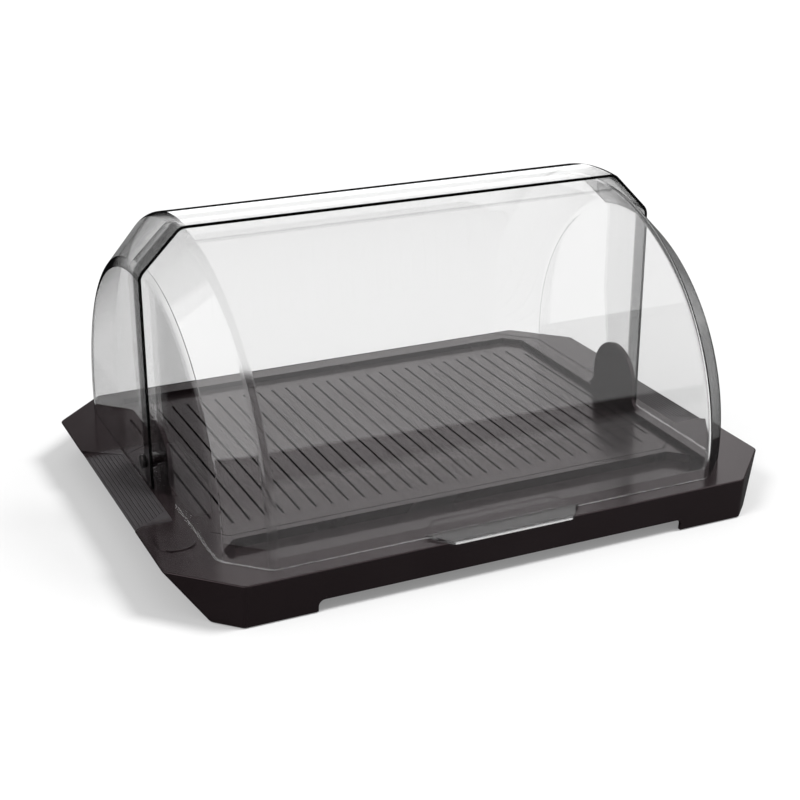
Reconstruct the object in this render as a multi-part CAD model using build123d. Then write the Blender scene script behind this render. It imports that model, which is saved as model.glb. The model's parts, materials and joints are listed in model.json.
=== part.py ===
"""Countertop bread display bin: a shallow charcoal base tray with a lift-out slotted crumb board,
a fixed clear rear cover and a clear front door that rolls up and back inside the cover on two side
pivots.  Millimetres; +X is the object's right seen from the front, -Y is the front, +Z is up.
The origin is the centre of the overall footprint on the table.
"""

from build123d import *
import math
import os

# ------------------------------------------------------------------ driving sizes
DISPLAY_HALF_WIDTH = 161.0  # the sunk display area inside the lid
DOOR_RADIUS = 145.3  # the clear door, outside, about the side pivots
BASE_HEIGHT = 28.0  # table to rim
PIVOT_RISE = 13.3  # rim to pivots
PIVOT_Y = 1.5  # the pivots stand this far behind the rim's centre
OPEN_ANGLE = 80.0  # the door's full travel

# ------------------------------------------------------------------ clear lid
LID_WALL = 1.9
LID_RADIAL_GAP = 4.2  # between the door and the cover round it
LID_SIDE_GAP = 3.7
EDGE_ROUND = 9.0  # the long outer edges of both shells
DOOR_CHAMFER_X = 25.0
DOOR_CHAMFER_R = 24.0
COVER_CHAMFER_X = 26.8
COVER_CHAMFER_R = 26.8
COVER_FRONT = 12.5  # the cover's upright front edge, in front of the rim's centre
DOOR_REAR = 25.0  # the door's upright rear edge, behind the rim's centre
DOOR_GAP = 0.3  # the closed door stands this far above the rim
COVER_RADIUS = DOOR_RADIUS + LID_RADIAL_GAP + LID_WALL

# ------------------------------------------------------------------ pivots
EAR_SETBACK = 2.8  # display area's side wall to the bearing plate
EAR_THICKNESS = 2.6
EAR_RADIUS = 25.0
EAR_FOOT_ROUND = 8.0
EAR_DOOR_GAP = 1.3
STUD_RADIUS = 3.2
STUD_COVER_GAP = 0.4  # the stud's shoulder stops this far inside the cover
STUD_RUNNING_GAP = 0.06  # radial, in the door's bore
NECK_RADIUS = 2.4
NECK_GAP = 0.1
NECK_PROUD = 1.0  # outside the cover, in the cap
BOSS_RADIUS = 5.6
BOSS_COVER_GAP = 1.1
CAP_RADIUS = 4.2
CAP_THICKNESS = 1.8
CAP_EDGE = 0.5
EAR_INNER_X = DISPLAY_HALF_WIDTH + EAR_SETBACK
EAR_OUTER_X = EAR_INNER_X + EAR_THICKNESS
DOOR_HALF_WIDTH = EAR_OUTER_X + EAR_DOOR_GAP + LID_WALL
COVER_HALF_WIDTH = DOOR_HALF_WIDTH + LID_SIDE_GAP + LID_WALL
STUD_END_X = COVER_HALF_WIDTH - LID_WALL - STUD_COVER_GAP
BOSS_END_X = COVER_HALF_WIDTH - LID_WALL - BOSS_COVER_GAP
NECK_END_X = COVER_HALF_WIDTH + NECK_PROUD

# ------------------------------------------------------------------ base tray, outside
SIDE_LEDGE = 25.65  # rim outside the cover at each side, before its edge is rounded
REAR_LEDGE = 0.6
RIM_CORNER = 36.5  # leg of each cut corner at the rim
SIDE_TAPER = 21.0  # how far a side skirt leans in from rim to foot
FRONT_TAPER = 3.0  # the same for the front and rear skirts
FOOT_CORNER = 15.0  # leg of each cut corner at the foot
SKIRT_WALL = 2.4
DECK = 2.6  # thickness of the flat ledge round the rim
SKIRT_EDGE_ROUND = 4.0  # the eight upright corner edges
RIM_EDGE_ROUND = 0.8
NOTCH_MARGIN = 80.0  # rim's end to the shallow opening under the front and rear skirts
NOTCH_HEIGHT = 7.5
NOTCH_ROUND = 4.0
RIM_WIDTH = 2 * (COVER_HALF_WIDTH + SIDE_LEDGE)
RIM_DEPTH = 2 * (COVER_RADIUS + PIVOT_Y + REAR_LEDGE)

# ------------------------------------------------------------------ base tray, inside
RECESS_FRONT_SETBACK = 16.8  # door's radius to the sunk area's front edge
RECESS_REAR_SETBACK = 7.3
RECESS_CORNER = 11.0
RECESS_DEPTH = 3.5
TROUGH_DEPTH = 6.0  # below the sunk area
TROUGH_LENGTH = 37.0  # front to back
TROUGH_MARGIN = 1.3  # the trough's edges inside the sunk area's walls
TROUGH_RIB = 5.0  # between the trough and the crumb board
BOARD_THICKNESS = 3.0
BOARD_CLEARANCE = 0.6
BOARD_LEDGE = 6.0  # width of the ledge that the board rests on
CRUMB_WELL_DEPTH = 8.5  # below the board
BASIN_WALL = 2.2
BASIN_CORNER_ROUND = 3.0
RIB_THICKNESS = 1.8
RIB_DEPTH = 5.0
RIB_PITCH = 76.0
RECESS_FRONT = DOOR_RADIUS - RECESS_FRONT_SETBACK  # these are all from the rim's centre
RECESS_REAR = DOOR_RADIUS - RECESS_REAR_SETBACK
TROUGH_FRONT = RECESS_FRONT - TROUGH_MARGIN
TROUGH_REAR = TROUGH_FRONT - TROUGH_LENGTH
BOARD_FRONT = TROUGH_REAR - TROUGH_RIB

# ------------------------------------------------------------------ slots of the crumb board
SLOT_PITCH = 10.55
SLOT_WIDTH = 1.5
SLOT_SIDE_MARGIN = 7.5  # display area's side wall to the outermost slots
SLOT_FRONT_MARGIN = 14.5  # board's edges to the slots' ends
SLOT_REAR_MARGIN = 19.0
SLOT_END_SHORTER = 11.0  # the outermost slots stop short of the cut corners
SLOT_COUNT = 1 + int(2 * (DISPLAY_HALF_WIDTH - SLOT_SIDE_MARGIN) / SLOT_PITCH)

# ------------------------------------------------------------------ side ledges
GRIP_HALF_OUTER = 63.0  # half length of the sloping grip zone at the rim
GRIP_HALF_INNER = 45.5  # and at its inner edge
GRIP_REACH = 24.5  # rim to inner edge
GRIP_DROP = 2.4
GRIP_GROOVES = 10
GRIP_GROOVE_WIDTH = 0.6
GRIP_GROOVE_DEPTH = 0.3
PAD_INSET = 17.5  # rim to the centre of the plain raised pad on the left ledge
PAD_Y = -84.0
PAD_LENGTH = 28.0
PAD_WIDTH = 21.5
PAD_CORNER = 8.0
PAD_RISE = 0.8
PAD_EDGE = 0.3

# ------------------------------------------------------------------ door handle lip
LIP_OVERHANG = 4.0  # beyond the front of the rim
LIP_BACK_HALF = 52.0
LIP_FRONT_HALF = 37.0
LIP_THICKNESS = 1.8

# ------------------------------------------------------------------ cover hooks
HOOK_X = 90.0
HOOK_WIDTH = 14.0
HOOK_THICKNESS = 1.2
HOOK_DEPTH = 3.2  # below the rim
HOOK_RISE = 2.0  # above the rim, inside the cover's wall
HOOK_GAP = 0.4

# ------------------------------------------------------------------ feet
FOOT_INSET_X = 24.0  # skirt's foot to the pads' centres
FOOT_INSET_Y = 23.5
FOOT_RADIUS = 8.0
FOOT_PROUD = 0.8
FOOT_THICKNESS = 2.4
FOOT_GAP = 0.15
FOOT_BOSS_WALL = 2.0
FOOT_EDGE = 0.5

# ------------------------------------------------------------------ worked out
RIM_Z = BASE_HEIGHT
PIVOT_Z = RIM_Z + PIVOT_RISE
RECESS_Z = RIM_Z - RECESS_DEPTH
BOARD_SEAT_Z = RECESS_Z - BOARD_THICKNESS
WELL_Z = BOARD_SEAT_Z - CRUMB_WELL_DEPTH
TROUGH_Z = RECESS_Z - TROUGH_DEPTH
GRIP_INNER_X = RIM_WIDTH / 2 - GRIP_REACH
NOTCH_WIDTH = RIM_WIDTH - 2 * NOTCH_MARGIN
FOOT_X = RIM_WIDTH / 2 - SIDE_TAPER - FOOT_INSET_X
FOOT_Y = RIM_DEPTH / 2 - FRONT_TAPER - FOOT_INSET_Y
HOOK_WALL_RADIUS = COVER_RADIUS - LID_WALL
HOOK_Y = PIVOT_Y + math.sqrt(HOOK_WALL_RADIUS**2 - (PIVOT_RISE - HOOK_RISE) ** 2)
ABOVE = 60.0  # open cutters reach this far past what they cut

# Everything is drawn from the rim's centre and set down so that the footprint's centre is the origin.
FOOTPRINT_SHIFT = Pos(0, LIP_OVERHANG / 2, 0)


def prism(points, z_low, z_high):
    """An upright prism over a closed outline given as (x, y) points."""
    outline = make_face(Polyline(*[(x, y, z_low) for x, y in points], close=True))
    return extrude(outline, z_high - z_low, dir=(0, 0, 1))


def octagon(half_x, half_y, corner):
    """The corner points of a rectangle with its corners cut at 45 degrees."""
    return [
        (half_x - corner, -half_y),
        (half_x, -half_y + corner),
        (half_x, half_y - corner),
        (half_x - corner, half_y),
        (-half_x + corner, half_y),
        (-half_x, half_y - corner),
        (-half_x, -half_y + corner),
        (-half_x + corner, -half_y),
    ]


def basin(half_x, y_front, y_rear, corner, z_low, z_high, grow=0.0):
    """A prism over a cut-cornered rectangle, grown outwards by a wall; y_front is in front."""
    half_x, y_front, y_rear = half_x + grow, y_front + grow, y_rear + grow
    corner = corner + grow * (2 - math.sqrt(2))
    middle = (y_rear - y_front) / 2
    outline = octagon(half_x, (y_rear + y_front) / 2, corner)
    solid = prism([(x, y + middle) for x, y in outline], z_low, z_high)
    return fillet(solid.edges().filter_by(Axis.Z), BASIN_CORNER_ROUND + grow)


# ------------------------------------------------------------------ base tray
def skirt_corners(z, inset):
    """The octagon of the tapered skirt at height z, moved in by a wall."""
    share = (RIM_Z - z) / (BASE_HEIGHT - FOOT_PROUD)
    half_x = RIM_WIDTH / 2 - SIDE_TAPER * share - inset
    half_y = RIM_DEPTH / 2 - FRONT_TAPER * share - inset
    corner = RIM_CORNER + (FOOT_CORNER - RIM_CORNER) * share - inset * (2 - math.sqrt(2))
    return [(x, y, z) for x, y in octagon(half_x, half_y, corner)]


def skirt_solid(z_low, z_high, inset=0.0):
    """The tapered block between two heights, with flat faces all round."""
    low = skirt_corners(z_low, inset)
    high = skirt_corners(z_high, inset)
    outlines = [low, high]
    for i in range(len(low)):
        outlines.append([low[i - 1], low[i], high[i], high[i - 1]])
    return Solid(Shell([Face(Wire.make_polygon(outline)) for outline in outlines]))


def skirt_shell():
    """The tapered outer skirt with the rim ledge as its top, open below."""
    outer = skirt_solid(FOOT_PROUD, RIM_Z)
    upright = [e for e in outer.edges() if abs(e.tangent_at(0.5).Z) > 0.3]
    outer = fillet(upright, SKIRT_EDGE_ROUND)
    outer = fillet(outer.edges().group_by(Axis.Z)[-1], RIM_EDGE_ROUND)
    hollow_low = FOOT_PROUD - 1.0
    return outer - skirt_solid(hollow_low, RIM_Z - DECK, SKIRT_WALL)


def basin_blocks():
    """The outside of every sunk basin, hanging from the deck."""
    wall = BASIN_WALL
    recess = basin(
        DISPLAY_HALF_WIDTH, RECESS_FRONT, RECESS_REAR, RECESS_CORNER, RECESS_Z - wall, RIM_Z, wall
    )
    seat = basin(
        DISPLAY_HALF_WIDTH, BOARD_FRONT, RECESS_REAR, RECESS_CORNER, BOARD_SEAT_Z - wall, RIM_Z, wall
    )
    well = basin(*crumb_well_outline(), WELL_Z - wall, RIM_Z, wall)
    trough = basin(*trough_outline(), TROUGH_Z - wall, RIM_Z, wall)
    return recess + seat + well + trough


def crumb_well_outline():
    return (
        DISPLAY_HALF_WIDTH - BOARD_LEDGE,
        BOARD_FRONT - BOARD_LEDGE,
        RECESS_REAR - BOARD_LEDGE,
        RECESS_CORNER,
    )


def trough_outline():
    return (DISPLAY_HALF_WIDTH - TROUGH_MARGIN, TROUGH_FRONT, -TROUGH_REAR, RECESS_CORNER)


def basin_hollows():
    """The sunk area, the board's seat, the crumb well and the front trough."""
    top = RIM_Z + ABOVE
    recess = basin(DISPLAY_HALF_WIDTH, RECESS_FRONT, RECESS_REAR, RECESS_CORNER, RECESS_Z, top)
    seat = basin(DISPLAY_HALF_WIDTH, BOARD_FRONT, RECESS_REAR, RECESS_CORNER, BOARD_SEAT_Z, top)
    well = basin(*crumb_well_outline(), WELL_Z, top)
    trough = basin(*trough_outline(), TROUGH_Z, top)
    return [recess, seat, well, trough]


def underside_ribs():
    """A grid of stiffening ribs under the crumb well's floor."""
    half_x, front, rear, _ = crumb_well_outline()
    top = WELL_Z - BASIN_WALL + 0.5
    low = top - RIB_DEPTH
    middle_y = (rear - front) / 2
    count_x = int(half_x // RIB_PITCH)
    count_y = int((rear + front) / 2 // RIB_PITCH)
    ribs = []
    for i in range(-count_x, count_x + 1):
        place = Pos(i * RIB_PITCH, middle_y, (low + top) / 2)
        ribs.append(place * Box(RIB_THICKNESS, rear + front, top - low))
    for j in range(-count_y, count_y + 1):
        place = Pos(0, middle_y + j * RIB_PITCH, (low + top) / 2)
        ribs.append(place * Box(2 * half_x, RIB_THICKNESS, top - low))
    return ribs


def ear(side):
    """The upright half-round bearing plate, with flared feet, and its outward pivot stud."""
    foot_z = RIM_Z - DECK / 2
    rise = PIVOT_Z - foot_z
    plane = Plane.YZ.offset(EAR_INNER_X)
    with BuildSketch(plane) as outline:
        with Locations((PIVOT_Y, PIVOT_Z)):
            Circle(EAR_RADIUS)
        with Locations((PIVOT_Y, foot_z + rise / 2)):
            Rectangle(2 * EAR_RADIUS, rise)
        with Locations((PIVOT_Y, foot_z - EAR_RADIUS)):
            Rectangle(4 * EAR_RADIUS, 2 * EAR_RADIUS, mode=Mode.SUBTRACT)
        for end in (-1, 1):
            corner_y = PIVOT_Y + end * EAR_RADIUS
            with Locations((corner_y + end * EAR_FOOT_ROUND / 2, RIM_Z + EAR_FOOT_ROUND / 2 - DECK / 4)):
                Rectangle(EAR_FOOT_ROUND, EAR_FOOT_ROUND + DECK / 2)
            with Locations((corner_y + end * EAR_FOOT_ROUND, RIM_Z + EAR_FOOT_ROUND)):
                Circle(EAR_FOOT_ROUND, mode=Mode.SUBTRACT)
    plate = extrude(outline.sketch, EAR_THICKNESS)
    stud = pivot_rod(STUD_RADIUS, EAR_INNER_X + EAR_THICKNESS / 2, STUD_END_X)
    neck = pivot_rod(NECK_RADIUS, STUD_END_X - 1.0, NECK_END_X)
    solid = plate + stud + neck
    return solid if side > 0 else mirror(solid, Plane.YZ)


def pivot_rod(radius, x_low, x_high):
    """A cylinder along the pivot axis, on the right-hand side."""
    place = Pos((x_low + x_high) / 2, PIVOT_Y, PIVOT_Z) * Rot(0, 90, 0)
    return place * Cylinder(radius, x_high - x_low)


def grip_cuts(side):
    """The sloping finger zone of a side ledge and the fine grooves in it."""
    edge_x = RIM_WIDTH / 2 + 2.0
    half_at_edge = GRIP_HALF_OUTER + (edge_x - RIM_WIDTH / 2)
    zone = prism(
        [
            (GRIP_INNER_X, -GRIP_HALF_INNER),
            (edge_x, -half_at_edge),
            (edge_x, half_at_edge),
            (GRIP_INNER_X, GRIP_HALF_INNER),
        ],
        RIM_Z - 2 * GRIP_DROP,
        RIM_Z + 1.0,
    )
    slope = math.degrees(math.atan2(GRIP_DROP, RIM_WIDTH / 2 - GRIP_INNER_X))
    above = Pos(GRIP_INNER_X, 0, RIM_Z) * Rot(0, slope, 0) * Pos(0, 0, 10)
    cuts = [zone & (above * Box(80, 160, 20))]
    reach = RIM_WIDTH / 2 - GRIP_INNER_X
    for i in range(GRIP_GROOVES):
        share = (i + 0.7) / GRIP_GROOVES
        x = GRIP_INNER_X + reach * share
        z = RIM_Z - GRIP_DROP * share
        half = GRIP_HALF_INNER + (GRIP_HALF_OUTER - GRIP_HALF_INNER) * share - 1.5
        groove = Box(GRIP_GROOVE_WIDTH, 2 * half, 2 * GRIP_GROOVE_DEPTH)
        cuts.append(Pos(x, 0, z) * groove)
    return cuts if side > 0 else [mirror(cut, Plane.YZ) for cut in cuts]


def ledge_pad():
    """The plain raised pad on the left ledge."""
    low = RIM_Z - DECK / 2
    with BuildSketch(Plane.XY.offset(low)) as outline:
        with Locations((PAD_INSET - RIM_WIDTH / 2, PAD_Y)):
            RectangleRounded(PAD_WIDTH, PAD_LENGTH, PAD_CORNER)
    pad = extrude(outline.sketch, RIM_Z + PAD_RISE - low)
    return chamfer(pad.edges().group_by(Axis.Z)[-1], PAD_EDGE)


def skirt_notch(y_side):
    """The round-cornered opening under the front or rear skirt."""
    height = NOTCH_HEIGHT + NOTCH_ROUND
    reach = 16.0
    centre_y = y_side * RIM_DEPTH / 2
    solid = Pos(0, centre_y, FOOT_PROUD + NOTCH_HEIGHT - height / 2) * Box(NOTCH_WIDTH, reach, height)
    top_edges = solid.edges().filter_by(Axis.Y).group_by(Axis.Z)[-1]
    return fillet(top_edges, NOTCH_ROUND)


def foot_places():
    return [(sx * FOOT_X, sy * FOOT_Y) for sy in (-1, 1) for sx in (-1, 1)]


def foot_boss(x, y):
    top = RIM_Z - DECK / 2
    radius = FOOT_RADIUS + FOOT_GAP + FOOT_BOSS_WALL
    return Pos(x, y, (FOOT_PROUD + top) / 2) * Cylinder(radius, top - FOOT_PROUD)


def foot_pocket(x, y):
    return Pos(x, y, 0) * Cylinder(FOOT_RADIUS + FOOT_GAP, 2 * FOOT_THICKNESS)


def hook_slot(side):
    width = HOOK_WIDTH + 2 * HOOK_GAP
    thickness = HOOK_THICKNESS + 2 * HOOK_GAP
    depth = HOOK_DEPTH + HOOK_GAP
    return Pos(side * HOOK_X, HOOK_Y + HOOK_THICKNESS / 2, RIM_Z) * Box(width, thickness, 2 * depth)


def base_tray():
    tray = skirt_shell() + basin_blocks()
    for place in foot_places():
        tray += foot_boss(*place)
    for rib in underside_ribs():
        tray += rib
    for hollow in basin_hollows():
        tray -= hollow
    for place in foot_places():
        tray -= foot_pocket(*place)
    for side in (-1, 1):
        tray += ear(side)
        tray -= hook_slot(side)
        tray -= skirt_notch(side)
        for cut in grip_cuts(side):
            tray -= cut
    return tray + ledge_pad()


# ------------------------------------------------------------------ crumb board
def crumb_board():
    """The lift-out board: a flat plate with thin slots running front to back."""
    gap = BOARD_CLEARANCE
    board = basin(
        DISPLAY_HALF_WIDTH, BOARD_FRONT, RECESS_REAR, RECESS_CORNER, BOARD_SEAT_Z, RECESS_Z, -gap
    )
    slots = []
    for i in range(SLOT_COUNT):
        x = (i - (SLOT_COUNT - 1) / 2) * SLOT_PITCH
        outermost = i in (0, SLOT_COUNT - 1)
        shorter = SLOT_END_SHORTER if outermost else 0.0
        front = SLOT_FRONT_MARGIN - BOARD_FRONT + shorter
        rear = RECESS_REAR - SLOT_REAR_MARGIN - shorter
        place = Pos(x, (front + rear) / 2, BOARD_SEAT_Z + BOARD_THICKNESS / 2)
        slots.append(place * Box(SLOT_WIDTH, rear - front, 2 * BOARD_THICKNESS))
    return board - slots


# ------------------------------------------------------------------ clear shells
def lid_profile(half_width, radius, chamfer_x, chamfer_r):
    """Half section of a roll-top in (x, r): its face, cone and upright side wall, both sides."""
    below = EDGE_ROUND + LID_WALL
    right = [(half_width, -below), (half_width, radius - chamfer_r), (half_width - chamfer_x, radius)]
    points = right + [(-x, r) for x, r in reversed(right)]
    face = make_face(Polyline(*[(x, 0, r) for x, r in points], close=True))
    corners = [v for v in face.vertices() if v.Z > 0]
    return fillet(corners, EDGE_ROUND)


def lid_shell(half_width, radius, chamfer_x, chamfer_r):
    """The hollow body of revolution about the pivot axis that a clear shell is cut from."""
    outer = lid_profile(half_width, radius, chamfer_x, chamfer_r)
    inner = offset(outer, amount=-LID_WALL, kind=Kind.INTERSECTION)
    size = 2 * half_width + ABOVE
    half_plane = Pos(0, 0, size / 2) * Rot(90, 0, 0) * Rectangle(size, size)
    solids = [revolve(half_plane & face, Axis.X) for face in (outer, inner)]
    return Pos(0, PIVOT_Y, PIVOT_Z) * (solids[0] - solids[1])


def rear_cover():
    """The fixed outer shell, from its upright front edge back and down to the rim."""
    shell = lid_shell(COVER_HALF_WIDTH, COVER_RADIUS, COVER_CHAMFER_X, COVER_CHAMFER_R)
    size = 2 * COVER_HALF_WIDTH + ABOVE
    keep = Pos(0, -COVER_FRONT + size / 2, RIM_Z + size / 2) * Box(size, size, size)
    cover = shell & keep
    for side in (-1, 1):
        cover += cover_hook(side)
    bore = pivot_rod(NECK_RADIUS + NECK_GAP, STUD_END_X - 2, NECK_END_X)
    return cover - bore - mirror(bore, Plane.YZ)


def cover_hook(side):
    """A tab under the rear wall that drops into a slot of the base's rear ledge."""
    length = HOOK_DEPTH + HOOK_RISE
    place = Pos(side * HOOK_X, HOOK_Y + HOOK_THICKNESS / 2, RIM_Z + HOOK_RISE - length / 2)
    return place * Box(HOOK_WIDTH, HOOK_THICKNESS, length)


def door_side_outline():
    """The side view that the door keeps: level foot, round lobe at the pivot, upright rear edge.

    The lobe and the straight run above it just clear the rim while the door turns."""
    lobe = PIVOT_RISE - DOOR_GAP
    angle = math.radians(OPEN_ANGLE)
    tangent = (lobe * math.sin(angle), -lobe * math.cos(angle))
    rear = DOOR_REAR - PIVOT_Y
    shoulder_z = (rear * math.sin(angle) - lobe) / math.cos(angle)
    far = DOOR_RADIUS + ABOVE
    edges = [
        Line((-far, -lobe), (0, -lobe)),
        CenterArc((0, 0), lobe, -90, OPEN_ANGLE),
        Polyline(tangent, (rear, shoulder_z), (rear, far), (-far, far), (-far, -lobe)),
    ]
    return Plane.YZ * Pos(PIVOT_Y, PIVOT_Z) * make_face(edges)


def handle_lip():
    """The finger lip along the foot of the door, with swept ends."""
    back_y = PIVOT_Y - math.sqrt((DOOR_RADIUS - LID_WALL / 2) ** 2 - PIVOT_RISE**2)
    wall_y = back_y - LID_WALL / 2
    front_y = -RIM_DEPTH / 2 - LIP_OVERHANG
    low = RIM_Z + DOOR_GAP
    with BuildSketch(Plane.XY.offset(low)) as outline:
        with BuildLine():
            Polyline(
                (-LIP_BACK_HALF, wall_y),
                (-LIP_BACK_HALF, back_y),
                (LIP_BACK_HALF, back_y),
                (LIP_BACK_HALF, wall_y),
            )
            Spline(
                (LIP_BACK_HALF, wall_y), (LIP_FRONT_HALF, front_y), tangents=[(-1, 0), (-1, 0)]
            )
            Line((LIP_FRONT_HALF, front_y), (-LIP_FRONT_HALF, front_y))
            Spline(
                (-LIP_FRONT_HALF, front_y), (-LIP_BACK_HALF, wall_y), tangents=[(-1, 0), (-1, 0)]
            )
        make_face()
    return extrude(outline.sketch, LIP_THICKNESS)


def front_door():
    """The moving inner shell, with its pivot bosses and handle lip."""
    shell = lid_shell(DOOR_HALF_WIDTH, DOOR_RADIUS, DOOR_CHAMFER_X, DOOR_CHAMFER_R)
    keep = extrude(door_side_outline(), RIM_WIDTH, both=True)
    door = (shell & keep) + handle_lip()
    boss = pivot_rod(BOSS_RADIUS, DOOR_HALF_WIDTH - LID_WALL / 2, BOSS_END_X)
    bore = pivot_rod(STUD_RADIUS + STUD_RUNNING_GAP, EAR_OUTER_X, STUD_END_X)
    door = door + boss + mirror(boss, Plane.YZ)
    return door - bore - mirror(bore, Plane.YZ)


# ------------------------------------------------------------------ small pieces
def pivot_cap(side):
    """The round cap pressed on the stud's neck outside the cover."""
    outer_x = COVER_HALF_WIDTH + CAP_THICKNESS
    disc = pivot_rod(CAP_RADIUS, COVER_HALF_WIDTH, outer_x)
    rim = disc.edges().filter_by(GeomType.CIRCLE).group_by(Axis.X)[-1]
    cap = chamfer(rim, CAP_EDGE) - pivot_rod(NECK_RADIUS, EAR_OUTER_X, NECK_END_X)
    return cap if side > 0 else mirror(cap, Plane.YZ)


def foot_pad(x, y):
    pad = Pos(x, y, FOOT_THICKNESS / 2) * Cylinder(FOOT_RADIUS, FOOT_THICKNESS)
    return chamfer(pad.edges().group_by(Axis.Z)[0], FOOT_EDGE)


def main():
    parts = {
        "base_tray": base_tray(),
        "crumb_board": crumb_board(),
        "rear_cover": rear_cover(),
        "front_door": front_door(),
        "left_pivot_cap": pivot_cap(-1),
        "right_pivot_cap": pivot_cap(1),
    }
    corners = ("front_left", "front_right", "rear_left", "rear_right")
    for corner, place in zip(corners, foot_places()):
        parts[f"{corner}_foot"] = foot_pad(*place)
    os.makedirs("parts", exist_ok=True)
    for name, shape in parts.items():
        export_step(FOOTPRINT_SHIFT * shape, f"parts/{name}.step")


main()
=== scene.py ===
"""The look of the countertop bread display bin: charcoal mouldings under a clear two-part lid."""

import bpy
import json
import math
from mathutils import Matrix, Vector
from mathutils.geometry import tessellate_polygon


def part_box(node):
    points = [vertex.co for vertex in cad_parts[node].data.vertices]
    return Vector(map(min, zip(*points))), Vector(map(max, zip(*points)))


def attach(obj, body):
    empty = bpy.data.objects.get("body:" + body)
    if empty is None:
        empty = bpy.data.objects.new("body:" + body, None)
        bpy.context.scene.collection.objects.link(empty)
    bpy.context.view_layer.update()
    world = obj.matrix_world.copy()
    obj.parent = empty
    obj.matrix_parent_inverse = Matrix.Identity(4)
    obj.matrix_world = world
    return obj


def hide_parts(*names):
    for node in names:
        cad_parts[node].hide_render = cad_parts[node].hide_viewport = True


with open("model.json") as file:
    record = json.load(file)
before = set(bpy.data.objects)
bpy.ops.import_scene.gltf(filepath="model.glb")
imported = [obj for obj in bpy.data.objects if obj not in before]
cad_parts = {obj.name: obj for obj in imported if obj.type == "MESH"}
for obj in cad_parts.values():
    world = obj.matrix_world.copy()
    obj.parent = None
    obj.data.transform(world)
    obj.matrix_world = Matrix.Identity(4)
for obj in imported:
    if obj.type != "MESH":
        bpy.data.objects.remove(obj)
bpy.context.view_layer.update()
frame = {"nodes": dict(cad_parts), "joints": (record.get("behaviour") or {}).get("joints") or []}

MM = 0.001
RIM_Z = 28 * MM

# ------------------------------------------------------------------ camera
IMAGE_SIDE = 800  # pixels
SENSOR = 36.0  # mm
CLIP_NEAR, CLIP_FAR = 0.01, 100
CAMERA_PLACE = Vector((-405.2, -872.9, 446.0)) * MM
CAMERA_AZIMUTH = math.radians(-24.79)
CAMERA_ELEVATION = math.radians(22.19)
FOCAL_PIXELS = 1581.0

# ------------------------------------------------------------------ studio values
# Panels are placed by the x, y and z of the direction in which they lie.  A pair of places is
# where a fade starts and ends.
PANEL = 1.08  # brightness of the long panel that crosses overhead from front to rear
PANEL_LEFT = (0.12, 0.22)
PANEL_RIGHT = (0.56, 0.66)
PANEL_FOOT = (0.432, 0.462)  # its lower end in front, by z plus the tilt times x
PANEL_TILT = 0.475
PANEL_MIDDLE = (-0.05, 0.15)  # by y, where its front half meets its rear half
BELOW_PANEL = 0.096  # brightness in front under its foot
UNLIT = 0.08  # and beside it
REAR_FADE = (0.22, 0.27)  # by x, where the rear half's low end fades in
REAR_DIM = 0.08  # brightness before that
REAR_ASIDE = 0.1  # its share past the panel's right edge
REAR_GLARE = 2.0  # how much brighter it is close to the horizon
REAR_GLARE_TOP = (0.1, 0.18)
REAR_GAP = (0.49, 0.55)  # by z, the top of the low end
LEFT_PANEL = 1.84  # brightness of the small panel at the left
LEFT_PANEL_DIM = 1.04  # and of its rear part
LEFT_PANEL_X = (-0.62, -0.66)
LEFT_PANEL_END = (-0.968, -0.956)  # by x, its far end
LEFT_PANEL_REAR = (0.42, 0.40)  # by y, where the rear part ends
LEFT_PANEL_FOOT = (0.055, 0.075)
BACKDROP_TOP = (0.02, 0.1)  # by z, the white that shows through the lid behind the floor
BACKDROP_LEFT = (-0.3, -0.1)
MATTE_GLOW = (0.08, 0.72)  # the light on matte surfaces, from low to high
MATTE_GLOW_Z = (-0.2, 0.9)
FLOOR_TONE = 0.5
FLOOR_GLOW = 0.22  # its own light, to the camera and through the lid
FLOOR_HALF = 3.0
FLOOR_ASIDE = 0.33  # share of the floor and backdrop seen through the lid, at the left
FLOOR_LEFT = (-0.5, -0.2)  # by x, in metres from the object's middle
FLOOR_MIRRORED = 0.1  # share of the floor that gloss picks up
FLOOR_FAR_Y = (0.2, 0.3)  # behind this it picks up all of it
FLOOR_FAR_X = (-0.2, 0.0)  # and to the left of this none
KEY_SUN = (3.0, (-0.65, 0.27, -0.95))  # energy and the way its light goes
FILL_SUN = (1.5, (0.8, 0.3, -0.95))
SUN_ANGLE = math.radians(20)

# ------------------------------------------------------------------ surface values
CLOUD = (14.0, 3.0)  # scale, detail and, if given, roughness of a noise
CLOUD_RANGE = (0.35, 0.65)  # from the darker tone to the lighter one
SMEAR = (60.0, 4.0)
SMEAR_RANGE = (0.3, 0.7)
SMEAR_SHIFT = (-0.015, 0.015)  # of the roughness
SPARK = (2600.0, 2.0, 0.6)
SPARK_DEPTH = 0.05 * MM
SPECKLE = (900.0, 3.0)
CHARCOAL_IOR = 1.46
CLEAR_IOR = 1.49
CHARCOAL_SHEEN = (1.0, 0.83, 0.87, 1)
GRIP_ACROSS = (175.5 * MM, 176.5 * MM)  # the sloping grip zones of the side ledges
GRIP_ALONG = (52 * MM, 60 * MM)
# painted sheen: the grip zones' lighter colour
GRIP_PAINTED_SHEEN = (0.044, 0.041, 0.043, 1)
GRIP_ROUGHER = 0.34
PAINTED_SHADE_ACROSS = (146 * MM, 150 * MM)  # painted shade: a dark band behind the cover's front edge, at its sides
PAINTED_SHADE_REAR = (0.8 * MM, 1.4 * MM)
PAINTED_SHADE_TINT = (0.28, 0.28, 0.28, 1)
LOW_EDGE = (160 * MM, 135 * MM)  # by z, where the painted dark outline of the cover's shoulders widens
LOW_EDGE_SHIFT = 0.2  # of the facing value
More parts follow.
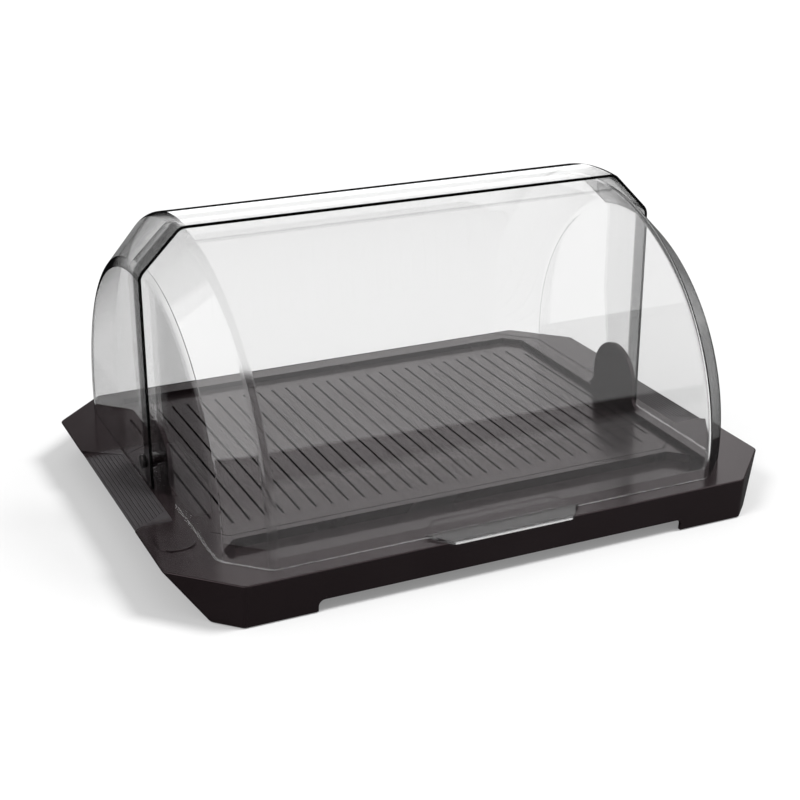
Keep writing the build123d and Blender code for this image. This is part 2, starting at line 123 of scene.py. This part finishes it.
# painted shade: the near-black that clear plastic turns to where it faces away from view
PAINTED_OUTLINE_SHADE = (0.004, 0.004, 0.004, 1)
LAMP_SHARE = (0.98, 0.98, 0.98, 1)  # what each clear surface lets through of the lamps' light
HEAD_ON_GLOSS = 0.04  # gloss of thin plastic seen straight on
FAINT_SHARE = 0.75  # of a faint cut edge that doesn't show at all
LID_TINT = 0.922
POLISHED, SATIN = 0.0, 0.1  # roughness
COVER_PAINTED_OUTLINE = (0.62, 0.82, 0.0, 1.0)  # painted dark outline of the cover's rounds
LIP_PAINTED_OUTLINE = (0.9, 0.95, 0.0, 1.0)


def make_camera():
    """The photo's own view."""
    data = bpy.data.cameras.new("camera")
    data.sensor_width = SENSOR
    data.lens = FOCAL_PIXELS / IMAGE_SIDE * SENSOR
    data.clip_start, data.clip_end = CLIP_NEAR, CLIP_FAR
    camera = bpy.data.objects.new("camera", data)
    bpy.context.scene.collection.objects.link(camera)
    a, e = CAMERA_AZIMUTH, CAMERA_ELEVATION
    back = Vector((math.sin(a) * math.cos(e), -math.cos(a) * math.cos(e), math.sin(e)))
    camera.location = CAMERA_PLACE
    camera.rotation_mode = "QUATERNION"
    camera.rotation_quaternion = (-back).to_track_quat("-Z", "Y")
    bpy.context.scene.camera = camera


# ------------------------------------------------------------------ node helpers
class Tree:
    """Builds a node tree with short calls."""

    def __init__(self, tree):
        self.tree = tree
        tree.nodes.clear()

    def node(self, kind, inputs=None, **settings):
        """Makes a node.  An input is set to its value, or linked if that is a node's output."""
        made = self.tree.nodes.new(kind)
        for key, value in settings.items():
            setattr(made, key, value)
        for key, value in (inputs or {}).items():
            if isinstance(value, (int, float, tuple)):
                made.inputs[key].default_value = value
            else:
                self.tree.links.new(value, made.inputs[key])
        return made

    def show(self, shader, kind="ShaderNodeOutputMaterial"):
        """Ends the tree in a shader."""
        self.node(kind, {0: shader.outputs[0]})

    def math(self, operation, *values):
        return self.node("ShaderNodeMath", dict(enumerate(values)), operation=operation).outputs[0]

    def product(self, a, b):
        return self.math("MULTIPLY", a, b)

    def noise(self, vector, scale, detail, roughness=0.5):
        inputs = {"Vector": vector, "Scale": scale, "Detail": detail, "Roughness": roughness}
        return self.node("ShaderNodeTexNoise", inputs).outputs["Fac"]

    def ramp(self, value, low, high, out_low, out_high):
        """Runs from out_low to out_high while the value runs from low to high."""
        inputs = {"From Min": low, "From Max": high, "To Min": out_low, "To Max": out_high}
        return self.node("ShaderNodeMapRange", {"Value": value, **inputs}).outputs["Result"]

    def mix(self, factor, a, b):
        return self.node("ShaderNodeMix", {0: factor, 2: a, 3: b}, data_type="FLOAT").outputs[0]

    def mix_color(self, factor, a, b):
        return self.node("ShaderNodeMix", {0: factor, 6: a, 7: b}, data_type="RGBA").outputs[2]

    def mix_shader(self, factor, a, b):
        inputs = {0: factor, 1: a.outputs[0], 2: b.outputs[0]}
        return self.node("ShaderNodeMixShader", inputs)

    def xyz(self, vector):
        return self.node("ShaderNodeSeparateXYZ", {0: vector}).outputs

    def place(self):
        """The point that is looked at, in the object's own frame."""
        return self.node("ShaderNodeTexCoord").outputs["Object"]

    def facing(self):
        """0 where the surface looks at the viewer, 1 where it turns away."""
        return self.node("ShaderNodeLayerWeight", {"Blend": 0.5}).outputs["Facing"]

    def clear(self, color, roughness):
        """Clear plastic that bends what shows through it."""
        inputs = {"Base Color": color, "Roughness": roughness, "IOR": CLEAR_IOR}
        return self.node("ShaderNodeBsdfPrincipled", {**inputs, "Transmission Weight": 1.0})

    def passing(self, color=(1, 1, 1, 1)):
        return self.node("ShaderNodeBsdfTransparent", {"Color": color})

    def matte(self, color):
        return self.node("ShaderNodeBsdfDiffuse", {"Color": color})


# ------------------------------------------------------------------ materials
def grey(tone):
    return (tone, tone, tone, 1)


def new_material(name):
    material = bpy.data.materials.new(name)
    material.use_nodes = True
    return material, Tree(material.node_tree)


def charcoal(name, dark, light, roughness, grain, grip=False):
    """Satin moulded plastic: fine spark texture, faint flow variation, slightly uneven gloss, and
    rougher gloss and a lighter colour, painted sheen, on the sloping grip zones if it has them."""
    material, t = new_material(name)
    point = t.place()
    x, y, _ = t.xyz(point)
    cloud, smear = t.noise(point, *CLOUD), t.noise(point, *SMEAR)
    color = t.mix_color(t.ramp(cloud, *CLOUD_RANGE, 0.0, 1.0), dark, light)
    rough = t.math("ADD", t.ramp(smear, *SMEAR_RANGE, *SMEAR_SHIFT), roughness)
    if grip:
        across = t.ramp(t.math("ABSOLUTE", x), *GRIP_ACROSS, 0.0, 1.0)
        along = t.ramp(t.math("ABSOLUTE", y), *GRIP_ALONG, 1.0, 0.0)
        zone = t.product(across, along)
        rough = t.math("ADD", rough, t.product(zone, GRIP_ROUGHER))
        # painted sheen: the grip zones are lighter in colour
        color = t.mix_color(zone, color, GRIP_PAINTED_SHEEN)
    height = t.noise(point, *SPARK)
    bump = t.node("ShaderNodeBump", {"Strength": grain, "Distance": SPARK_DEPTH, "Height": height})
    inputs = {
        "Base Color": color,
        "Roughness": rough,
        "IOR": CHARCOAL_IOR,
        "Specular Tint": CHARCOAL_SHEEN,
        "Normal": bump.outputs[0],
    }
    t.show(t.node("ShaderNodeBsdfPrincipled", inputs))
    return material


def clear_plastic(name, tint, roughness, outline, band=False, low_edge=False):
    """Clear plastic with painted shade: a dark outline where it turns away from view, by the
    facing values and amounts in outline, sooner low down with low_edge, and a darker tint in the
    band behind the cover's front edge if it has that.  Rays from lamps pass straight through it."""
    material, t = new_material(name)
    x, y, z = t.xyz(t.place())
    color, facing = grey(tint), t.facing()
    # painted shade: a darker tint in the band behind the cover's front edge
    if band:
        across = t.ramp(t.math("ABSOLUTE", x), *PAINTED_SHADE_ACROSS, 0.0, 1.0)
        inside = t.product(across, t.ramp(y, *PAINTED_SHADE_REAR, 1.0, 0.0))
        color = t.mix_color(inside, color, PAINTED_SHADE_TINT)
    if low_edge:
        facing = t.math("ADD", facing, t.ramp(z, *LOW_EDGE, 0.0, LOW_EDGE_SHIFT))
    # painted shade: a near-black matte mixed in by the facing value draws the dark outline
    dark = t.matte(PAINTED_OUTLINE_SHADE)
    edge = t.mix_shader(t.ramp(facing, *outline), t.clear(color, roughness), dark)
    shadow = t.node("ShaderNodeLightPath").outputs["Is Shadow Ray"]
    t.show(t.mix_shader(shadow, edge, t.passing(LAMP_SHARE)))
    return material


def thin_plastic(name, tint, roughness):
    """Clear plastic too thin to bend what shows through it."""
    material, t = new_material(name)
    facing = t.facing()
    square = t.product(facing, facing)
    fifth = t.product(t.product(square, square), facing)
    share = t.ramp(fifth, 0.0, 1.0, HEAD_ON_GLOSS, 1.0)
    gloss = t.node("ShaderNodeBsdfGlossy", {"Roughness": roughness})
    t.show(t.mix_shader(share, t.passing(grey(tint)), gloss))
    return material


def faint_cut(name, tint, roughness):
    """A polished cut edge that hardly shows."""
    material, t = new_material(name)
    t.show(t.mix_shader(FAINT_SHARE, t.clear(grey(tint), roughness), t.passing()))
    return material


def rubber(name, dark, light, roughness):
    """Dull rubber with a fine speckle."""
    material, t = new_material(name)
    color = t.mix_color(t.noise(t.place(), *SPECKLE), dark, light)
    t.show(t.node("ShaderNodeBsdfPrincipled", {"Base Color": color, "Roughness": roughness}))
    return material


def dress(node, material):
    """Gives a CAD piece one material in all its slots."""
    for slot in frame["nodes"][node].material_slots:
        slot.material = material


# ------------------------------------------------------------------ studio
def make_world():
    """A white studio.  Gloss and clear plastic pick up one long panel overhead and a small one at
    the left, with dark between them; the light on matte surfaces is a plain overhead glow."""
    world = bpy.data.worlds.new("studio")
    world.use_nodes = True
    world.cycles.sampling_method = "NONE"
    bpy.context.scene.world = world
    t = Tree(world.node_tree)
    path = t.node("ShaderNodeLightPath")
    x, y, z = t.xyz(t.node("ShaderNodeTexCoord").outputs["Generated"])
    across = t.product(t.ramp(x, *PANEL_LEFT, 0.0, 1.0), t.ramp(x, *PANEL_RIGHT, 1.0, 0.0))
    overhead = t.ramp(across, 0.0, 1.0, UNLIT, PANEL)
    height = t.math("ADD", z, t.product(x, PANEL_TILT))
    front = t.product(overhead, t.ramp(height, *PANEL_FOOT, BELOW_PANEL / PANEL, 1.0))
    rear_edge = t.ramp(x, *PANEL_RIGHT, 1.0, REAR_ASIDE)
    rear_low = t.product(t.ramp(x, *REAR_FADE, REAR_DIM, PANEL), rear_edge)
    rear_low = t.product(rear_low, t.ramp(z, *REAR_GLARE_TOP, REAR_GLARE, 1.0))
    rear = t.mix(t.ramp(z, *REAR_GAP, 0.0, 1.0), rear_low, overhead)
    mirrored = t.mix(t.ramp(y, *PANEL_MIDDLE, 0.0, 1.0), front, rear)
    left = t.product(t.ramp(x, *LEFT_PANEL_X, 0.0, 1.0), t.ramp(x, *LEFT_PANEL_END, 0.0, 1.0))
    left = t.product(left, t.ramp(z, *LEFT_PANEL_FOOT, 0.0, 1.0))
    left_panel = t.ramp(y, *LEFT_PANEL_REAR, LEFT_PANEL_DIM, LEFT_PANEL)
    mirrored = t.mix(left, mirrored, left_panel)
    backdrop = t.ramp(x, *BACKDROP_LEFT, FLOOR_ASIDE, 1.0)
    backdrop = t.product(t.ramp(z, *BACKDROP_TOP, 1.0, 0.0), backdrop)
    passing = t.math("MAXIMUM", mirrored, backdrop)
    matte = t.ramp(z, *MATTE_GLOW_Z, *MATTE_GLOW)
    strength = t.mix(path.outputs["Is Glossy Ray"], matte, mirrored)
    strength = t.mix(path.outputs["Is Transmission Ray"], strength, passing)
    strength = t.mix(path.outputs["Is Camera Ray"], strength, 1.0)
    background = t.node("ShaderNodeBackground", {"Color": grey(1), "Strength": strength})
    t.show(background, "ShaderNodeOutputWorld")


def make_floor():
    """A pale floor that keeps the shadow and fades into the white of the studio.  Gloss hardly
    picks it up except far behind, and clear plastic shows less of it at the left."""
    material, t = new_material("studio_floor")
    path = t.node("ShaderNodeLightPath")
    glossy, passing = path.outputs["Is Glossy Ray"], path.outputs["Is Transmission Ray"]
    seen = t.math("MAXIMUM", path.outputs["Is Camera Ray"], passing)
    glow = t.node("ShaderNodeEmission", {"Strength": t.product(seen, FLOOR_GLOW)})
    matte = t.matte(grey(FLOOR_TONE))
    lit = t.node("ShaderNodeAddShader", {0: matte.outputs[0], 1: glow.outputs[0]})
    x, y, _ = t.xyz(t.node("ShaderNodeNewGeometry").outputs["Position"])
    shown = t.product(passing, t.ramp(x, *FLOOR_LEFT, FLOOR_ASIDE, 1.0))
    far = t.ramp(y, *FLOOR_FAR_Y, FLOOR_MIRRORED, 1.0)
    shown = t.math("MAXIMUM", shown, t.product(t.ramp(x, *FLOOR_FAR_X, 0.0, 1.0), far))
    hidden = t.product(glossy, t.math("SUBTRACT", 1.0, shown))
    t.show(t.mix_shader(hidden, lit, t.matte(grey(0))))
    mesh = bpy.data.meshes.new("floor")
    corners = [(-FLOOR_HALF, -FLOOR_HALF, 0), (FLOOR_HALF, -FLOOR_HALF, 0)]
    corners += [(-a, -b, 0) for a, b, _ in corners]
    mesh.from_pydata(corners, [], [(0, 1, 2, 3)])
    floor = bpy.data.objects.new("floor", mesh)
    floor.data.materials.append(material)
    bpy.context.scene.collection.objects.link(floor)


def soft_sun(name, energy, direction):
    """A wide sun that gloss and clear plastic don't show."""
    data = bpy.data.lights.new(name, "SUN")
    data.energy = energy
    data.angle = SUN_ANGLE
    lamp = bpy.data.objects.new(name, data)
    lamp.visible_glossy = False
    lamp.visible_transmission = False
    lamp.rotation_mode = "QUATERNION"
    lamp.rotation_quaternion = Vector(direction).to_track_quat("-Z", "Y")
    bpy.context.scene.collection.objects.link(lamp)


def make_lights():
    """A key from the front right and a weaker fill from the front left, both high."""
    soft_sun("key", *KEY_SUN)
    soft_sun("fill", *FILL_SUN)


# ------------------------------------------------------------------ clear shells
# Both shells are bodies of revolution about the pivot axis.  These stand for the CAD solids, on a
# finer mesh with exact normals, because clear plastic shows every facet.
LID_WALL = 1.9 * MM
EDGE_ROUND = 9.0 * MM
COVER_CHAMFER = (26.8 * MM, 26.8 * MM)
DOOR_CHAMFER = (25.0 * MM, 24.0 * MM)
DOOR_INSET = 5.6 * MM  # the door's side walls inside the cover's
DOOR_TRAVEL = math.radians(80)
COVER_BORE = 2.5 * MM
DOOR_BORE = 3.26 * MM
BOSS_RADIUS = 5.6 * MM
LIP_BACK_HALF = 52.0 * MM
LIP_FRONT_HALF = 37.0 * MM
LIP_THICKNESS = 1.8 * MM
LIP_SWEEP = 7.0 * MM
HOOK_X = 90.0 * MM
HOOK_WIDTH = 14.0 * MM
HOOK_THICKNESS = 1.2 * MM
ARC_STEPS = 144
ROUND_STEPS = 8
CIRCLE_STEPS = 32
LOBE_STEPS = 12
SAME_PLACE_DIGITS = 8
SAME_NORMAL = 1e-6
STRAIGHT_OUT = 0.99  # the normal's share along the radius, on the main surface
SURFACE, CUT_EDGE, ROUND, BEVEL, SHOULDER, WALL = range(6)  # material slots of a shell
PIVOT = Vector(next(j["pos_m"] for j in frame["joints"] if j["name"] == "door_hinge"))


class Skin:
    """Collects faces with their own corner normals and makes one mesh of them."""

    def __init__(self):
        self.index, self.points, self.faces, self.normals, self.slots = {}, [], [], [], []

    def vertex(self, point):
        key = tuple(round(v, SAME_PLACE_DIGITS) for v in point)
        if key not in self.index:
            self.index[key] = len(self.points)
            self.points.append(key)
        return self.index[key]

    def face(self, corners, normals, slot=SURFACE):
        """Adds a face, wound so that it faces along its normals."""
        if isinstance(normals, Vector):
            normals = [normals] * len(corners)
        turned = corners[1:] + corners[:1]
        around = sum((a.cross(b) for a, b in zip(corners, turned)), Vector())
        if around.dot(sum(normals, Vector())) < 0:
            corners, normals = corners[::-1], normals[::-1]
        self.faces.append([self.vertex(c) for c in corners])
        self.normals.extend(normals)
        self.slots.append(slot)

    def cut(self, corners, away):
        """Adds a flat cut edge that faces the way away points."""
        normal = (corners[2] - corners[0]).cross(corners[3] - corners[1]).normalized()
        self.face(corners, normal if normal.dot(away) > 0 else -normal, CUT_EDGE)

    def strip(self, lows, highs, low_normals, high_normals, slot=SURFACE):
        """Quads between two rows of points."""
        for i in range(len(lows) - 1):
            corners = [lows[i], lows[i + 1], highs[i + 1], highs[i]]
            normals = [low_normals[i], low_normals[i + 1], high_normals[i + 1], high_normals[i]]
            self.face(corners, normals, slot)

    def tube(self, radius, x_low, x_high, sense):
        """A round wall about the pivot axis, facing out or, with a negative sense, in."""
        rays = [ray * sense for ray in RAYS + RAYS[:1]]
        lows, highs = (circle(x, radius) for x in (x_low, x_high))
        self.strip(lows + lows[:1], highs + highs[:1], rays, rays)

    def flat(self, outline, hole, normal, slot=SURFACE):
        """A flat face with a hole in it."""
        points = outline + hole
        for triangle in tessellate_polygon([outline, hole]):
            self.face([points[i] for i in triangle], normal, slot)

    def make(self, name, materials):
        mesh = bpy.data.meshes.new(name)
        mesh.from_pydata(self.points, [], self.faces)
        mesh.polygons.foreach_set("material_index", self.slots)
        mesh.normals_split_custom_set(self.normals)
        for material in materials:
            mesh.materials.append(material)
        made = bpy.data.objects.new(name, mesh)
        bpy.context.scene.collection.objects.link(made)
        return made


def ray_at(angle):
    """The unit direction in the side view, from the rear upwards."""
    return Vector((0, math.cos(angle), math.sin(angle)))


RAYS = [ray_at(2 * math.pi * i / CIRCLE_STEPS) for i in range(CIRCLE_STEPS)]


def circle(x, radius):
    return [PIVOT + Vector((x, 0, 0)) + ray * radius for ray in RAYS]


def shell_rows(half, radius, chamfer):
    """(x, r) and normal along the outside, from the right wall's top to the left wall's.  The
    shoulder is the round between a side wall and a chamfer, the crown the next one."""
    turn = math.atan2(*chamfer)
    shoulder_reach = EDGE_ROUND * math.tan(turn / 2)
    crown_reach = EDGE_ROUND * math.tan((math.pi / 2 - turn) / 2)
    shoulder = (half - EDGE_ROUND, radius - chamfer[1] - shoulder_reach)
    crown = (half - chamfer[0] - crown_reach, radius - EDGE_ROUND)
    rows = []
    for (centre_x, centre_r), low, high in ((shoulder, 0.0, turn), (crown, turn, math.pi / 2)):
        for i in range(ROUND_STEPS + 1):
            angle = low + (high - low) * i / ROUND_STEPS
            nx, nr = math.cos(angle), math.sin(angle)
            rows.append((centre_x + EDGE_ROUND * nx, centre_r + EDGE_ROUND * nr, nx, nr))
    return rows + [(-x, r, -nx, nr) for x, r, nx, nr in reversed(rows)]


def strip_slot(rows, i):
    """The material slot of the strip between rows i and i + 1."""
    (_, _, nx, nr), (_, _, next_nx, _) = rows[i], rows[i + 1]
    if abs(nx - next_nx) > SAME_NORMAL:
        return SHOULDER if min(i, len(rows) - 2 - i) < ROUND_STEPS else ROUND
    return SURFACE if nr > STRAIGHT_OUT else BEVEL


def clear_shell(half, radius, chamfer, span, foot_path, side_way):
    """A hollow roll-top.  span(r) gives the first and last angle of the row at radius r, foot_path
    closes a side wall's outline in (y, z) from the pivot, and side_way(skin, side) makes the way
    through a side wall and gives its outer and inner rim."""
    skin = Skin()
    rows = shell_rows(half, radius, chamfer)
    grids = []
    for depth, sense in ((0.0, 1), (LID_WALL, -1)):
        grid, normals = [], []
        for x, r, nx, nr in rows:
            x, r = x - depth * nx, r - depth * nr
            start, end = span(r)
            rays = [ray_at(start + (end - start) * j / ARC_STEPS) for j in range(ARC_STEPS + 1)]
            grid.append([PIVOT + Vector((x, 0, 0)) + ray * r for ray in rays])
            normals.append([(Vector((nx, 0, 0)) + ray * nr) * sense for ray in rays])
        for i in range(len(rows) - 1):
            skin.strip(grid[i], grid[i + 1], normals[i], normals[i + 1], strip_slot(rows, i))
        grids.append(grid)
    outer, inner = grids
    for end, before in ((0, 1), (-1, -2)):
        for i in range(len(rows) - 1):
            corners = [outer[i][end], outer[i + 1][end], inner[i + 1][end], inner[i][end]]
            skin.cut(corners, outer[i][end] - outer[i][before])
    for side, row in ((1, 0), (-1, -1)):
        borders = []
        for grid, hole, sense in zip(grids, side_way(skin, side), (side, -side)):
            wall_x = grid[row][0].x
            path = [PIVOT + Vector((wall_x, y, z)) for y, z in foot_path]
            skin.flat(grid[row] + path, hole, Vector((sense, 0, 0)), WALL)
            borders.append([grid[row][-1]] + path + [grid[row][0]])
        middle = sum(outer[row], Vector()) / len(outer[row])
        for i in range(len(foot_path) + 1):
            corners = [borders[0][i], borders[0][i + 1], borders[1][i + 1], borders[1][i]]
            skin.cut(corners, corners[0] - middle)
    return skin


def rear_cover(materials):
    """The fixed outer shell with its two hooks."""
    (_, y_low, z_low), (half, _, z_high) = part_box("rear_cover")
    radius = z_high - PIVOT.z
    front, rim = y_low - PIVOT.y, RIM_Z - PIVOT.z

    def span(r):
        return math.asin(rim / r), math.acos(front / r)

    def side_way(skin, side):
        skin.tube(COVER_BORE, side * half, side * (half - LID_WALL), -1)
        return circle(side * half, COVER_BORE), circle(side * (half - LID_WALL), COVER_BORE)

    skin = clear_shell(half, radius, COVER_CHAMFER, span, [(front, rim)], side_way)
    wall = math.sqrt((radius - LID_WALL) ** 2 - rim**2) + PIVOT.y
    for side in (-1, 1):
        low = Vector((side * HOOK_X - HOOK_WIDTH / 2, wall, z_low))
        block(skin, low, low + Vector((HOOK_WIDTH, HOOK_THICKNESS, RIM_Z - z_low)))
    cover = skin.make("rear_cover_shell", materials)
    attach(cover, "base")
    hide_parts("rear_cover")


def block(skin, low, high):
    """A plain box."""
    for axis in range(3):
        a, b = (axis + 1) % 3, (axis + 2) % 3
        for end, sense in ((low, -1), (high, 1)):
            corners = []
            for first, second in ((low, low), (high, low), (high, high), (low, high)):
                corner = Vector()
                corner[axis], corner[a], corner[b] = end[axis], first[a], second[b]
                corners.append(corner)
            normal = Vector()
            normal[axis] = sense
            skin.face(corners, normal)


def front_door(materials, lip_materials):
    """The inner shell that rolls up, with a finger lip at its foot.  The feet of its side walls
    are rounded about the pivot, so that they keep clear of the base through the whole travel."""
    (_, y_low, z_low), (x_high, y_high, z_high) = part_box("front_door")
    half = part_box("rear_cover")[1][0] - DOOR_INSET
    radius, lobe, rear = z_high - PIVOT.z, PIVOT.z - z_low, y_high - PIVOT.y
    turns = [DOOR_TRAVEL * i / LOBE_STEPS for i in range(LOBE_STEPS + 1)]
    path = [(lobe * math.sin(a), -lobe * math.cos(a)) for a in turns]
    path.append((rear, (rear * math.sin(DOOR_TRAVEL) - lobe) / math.cos(DOOR_TRAVEL)))

    def span(r):
        return math.acos(rear / r), math.pi + math.asin(lobe / r)

    def side_way(skin, side):
        wall, inside, end = side * half, side * (half - LID_WALL), side * x_high
        skin.tube(BOSS_RADIUS, wall, end, 1)
        skin.tube(DOOR_BORE, end, inside, -1)
        skin.flat(circle(end, BOSS_RADIUS), circle(end, DOOR_BORE), Vector((side, 0, 0)))
        return circle(wall, BOSS_RADIUS), circle(inside, DOOR_BORE)

    skin = clear_shell(half, radius, DOOR_CHAMFER, span, path, side_way)
    door = skin.make("front_door_shell", materials)
    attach(door, "door")
    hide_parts("front_door")
    back = PIVOT.y - math.sqrt(radius**2 - lobe**2)
    lip = handle_lip(back, y_low, z_low, lip_materials)
    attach(lip, "door")


def handle_lip(back_y, front_y, low_z, materials):
    """The finger lip along the door's foot, with ends swept on a cubic curve."""
    sweep = []
    for i in range(LOBE_STEPS + 1):
        t = i / LOBE_STEPS
        u = 1 - t
        starts, ends = u**3 + 3 * u * u * t, t**3 + 3 * u * t * t
        x = starts * LIP_BACK_HALF + ends * LIP_FRONT_HALF + 3 * u * t * LIP_SWEEP * (t - u)
        sweep.append((x, starts * back_y + ends * front_y))
    outline = sweep + [(-x, y) for x, y in reversed(sweep)]
    skin = Skin()
    low = [Vector((x, y, low_z)) for x, y in outline]
    high = [point + Vector((0, 0, LIP_THICKNESS)) for point in low]
    skin.face(low, Vector((0, 0, -1)))
    skin.face(high, Vector((0, 0, 1)))
    middle = Vector((0, (back_y + front_y) / 2, low_z))
    for i in range(len(low)):
        k = (i + 1) % len(low)
        skin.cut([low[i], low[k], high[k], high[i]], low[i] + low[k] - 2 * middle)
    return skin.make("door_handle_lip", materials)


# ------------------------------------------------------------------ assembly
make_camera()
make_world()
make_floor()
make_lights()

CHARCOAL = charcoal(
    "charcoal_moulding",
    dark=(0.0135, 0.0098, 0.0106, 1),
    light=(0.0165, 0.0123, 0.0132, 1),
    roughness=0.16,
    grain=0.1,
    grip=True,
)
BOARD = charcoal(
    "charcoal_board",
    dark=(0.018, 0.014, 0.0148, 1),
    light=(0.022, 0.0175, 0.0184, 1),
    roughness=0.2,
    grain=0.1,
)
CAP = charcoal("cap_black", dark=grey(0.012), light=grey(0.016), roughness=0.3, grain=0.1)
RUBBER = rubber("foot_rubber", dark=grey(0.012), light=grey(0.03), roughness=0.75)

# In the order of the shells' slots: a tint, a roughness and, where it has one, a painted shade
# outline.
COVER_LOOK = [
    clear_plastic("cover_clear", LID_TINT, POLISHED, (0.855, 0.89, 0.0, 1.0), band=True),
    # painted shade: the cover's cut edges are tinted dark and mostly mixed with the outline's
    # near-black
    clear_plastic("cover_cut_painted_shade", 0.45, SATIN, (0.0, 1.0, 0.65, 0.9)),
    clear_plastic("cover_round", LID_TINT, SATIN, COVER_PAINTED_OUTLINE, band=True),
    clear_plastic("cover_bevel", LID_TINT, POLISHED, (0.6, 0.88, 0.0, 0.7), band=True),
    clear_plastic("cover_shoulder", LID_TINT, SATIN, COVER_PAINTED_OUTLINE, band=True, low_edge=True),
]
COVER_LOOK.append(COVER_LOOK[SURFACE])  # its side walls look like its main surface
DOOR_LOOK = [
    clear_plastic("door_clear", LID_TINT, POLISHED, (0.97, 1.0, 0.0, 0.5)),
    faint_cut("door_cut", 0.9, SATIN),
    clear_plastic("door_round", LID_TINT, 0.12, (0.78, 0.96, 0.0, 1.0)),
    clear_plastic("door_bevel", LID_TINT, POLISHED, (0.6, 0.86, 0.0, 0.8)),
    thin_plastic("door_shoulder", 0.92, SATIN),
    thin_plastic("door_wall", 0.93, POLISHED),
]
LIP_LOOK = [
    clear_plastic("lip", 0.55, SATIN, LIP_PAINTED_OUTLINE),
    clear_plastic("lip_cut", 0.9, POLISHED, LIP_PAINTED_OUTLINE),
]

dress("base_tray", CHARCOAL)
dress("crumb_board", BOARD)
rear_cover(COVER_LOOK)
front_door(DOOR_LOOK, LIP_LOOK)
for side in ("left", "right"):
    dress(f"{side}_pivot_cap", CAP)
for corner in ("front_left", "front_right", "rear_left", "rear_right"):
    dress(f"{corner}_foot", RUBBER)

bpy.context.scene.view_settings.view_transform = "Standard"
bpy.context.scene.cycles.max_bounces = 24
bpy.context.scene.cycles.transmission_bounces = 20
bpy.context.scene.cycles.transparent_max_bounces = 24
